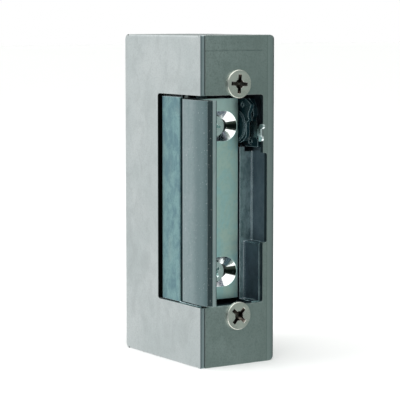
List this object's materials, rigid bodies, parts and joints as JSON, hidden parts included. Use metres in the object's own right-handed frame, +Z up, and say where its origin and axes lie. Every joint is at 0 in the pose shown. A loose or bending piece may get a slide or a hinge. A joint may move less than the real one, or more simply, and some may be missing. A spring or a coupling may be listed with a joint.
{
  "type": "electric door strike",
  "caption": "Surface-mounted electric door strike: sheet housing with a corner window, a swinging keeper with an adjustable latch, and a coil-released pawl inside.",
  "frame": {"origin": "centre of the back plate's outer face, which rests on the door frame", "axes": "+Z up along the housing, +X out of the narrow side that the bolt enters, +Y out of the back face towards the wall"},
  "size_m": [0.0535, 0.033, 0.115],
  "materials": {
    "stainless_sheet": "satin brushed stainless sheet",
    "screw_nickel": "nickel-plated steel",
    "rubber_black": "black rubber",
    "zinc_body": "zinc die casting, blue passivated",
    "zinc_plate": "zinc-plated steel",
    "latch_steel": "plated steel, satin nose, greenish chromated plate",
    "steel_pin": "ground steel",
    "spring_steel": "spring wire",
    "soft_iron": "soft iron, zinc plated",
    "black_plastic": "black moulded nylon",
    "copper": "enamelled copper winding",
    "grey_plastic": "grey moulded nylon",
    "brass": "plated brass",
    "lead_insulation": "PVC insulation"
  },
  "bodies": {
    "housing": {"housing_channel": "stainless_sheet", "front_cover": "stainless_sheet", "cover_screws": "screw_nickel", "fixing_screws": "screw_nickel", "cable_grommet": "rubber_black", "strike_body": "zinc_body", "strike_lid": "zinc_plate", "lid_screws": "screw_nickel", "keeper_pin": "steel_pin", "keeper_spring": "spring_steel", "pawl_pin": "steel_pin", "pawl_spring": "spring_steel", "armature_spring": "spring_steel", "coil_core": "soft_iron", "coil_bobbin": "black_plastic", "coil_winding": "copper", "coil_yoke": "soft_iron", "yoke_screw": "screw_nickel", "coil_cover": "black_plastic", "terminal_block": "grey_plastic", "terminal_clamps": "brass", "terminal_screws": "screw_nickel", "coil_leads": "lead_insulation", "suppressor_diode": "black_plastic"},
    "keeper": {"keeper": "zinc_plate", "latch_screws": "screw_nickel"},
    "latch": {"latch": "latch_steel"},
    "pawl": {"pawl": "zinc_plate"},
    "armature": {"armature": "soft_iron"},
    "hold_open_slider": {"hold_open_slider": "zinc_plate"}
  },
  "joints": [
    {"name": "keeper_swing", "type": "hinge", "parent": "housing", "child": "keeper", "pos_m": [0.0065, -0.0274, 0], "axis": [0, 0, -1], "range_deg": [0, 60], "stiffness_Nm_per_rad": 0.03},
    {"name": "latch_adjust", "type": "slide", "parent": "keeper", "child": "latch", "axis": [0, -1, 0], "range_m": [0, 0.003]},
    {"name": "pawl_turn", "type": "hinge", "parent": "housing", "child": "pawl", "pos_m": [0.0021, -0.02, -0.006], "axis": [1, 0, 0], "range_deg": [0, 15.5]},
    {"name": "armature_tilt", "type": "hinge", "parent": "housing", "child": "armature", "pos_m": [0.0052, -0.007, 0.0124], "axis": [-1, 0, 0], "range_deg": [0, 11.5]},
    {"name": "hold_open", "type": "slide", "parent": "housing", "child": "hold_open_slider", "axis": [0, 0, -1], "range_m": [0, 0.003]}
  ],
  "couplings": [
    {"joint": "pawl_turn", "follows": "keeper_swing", "ratio": 0.25},
    {"joint": "armature_tilt", "follows": "keeper_swing", "ratio": 0.18}
  ]
}
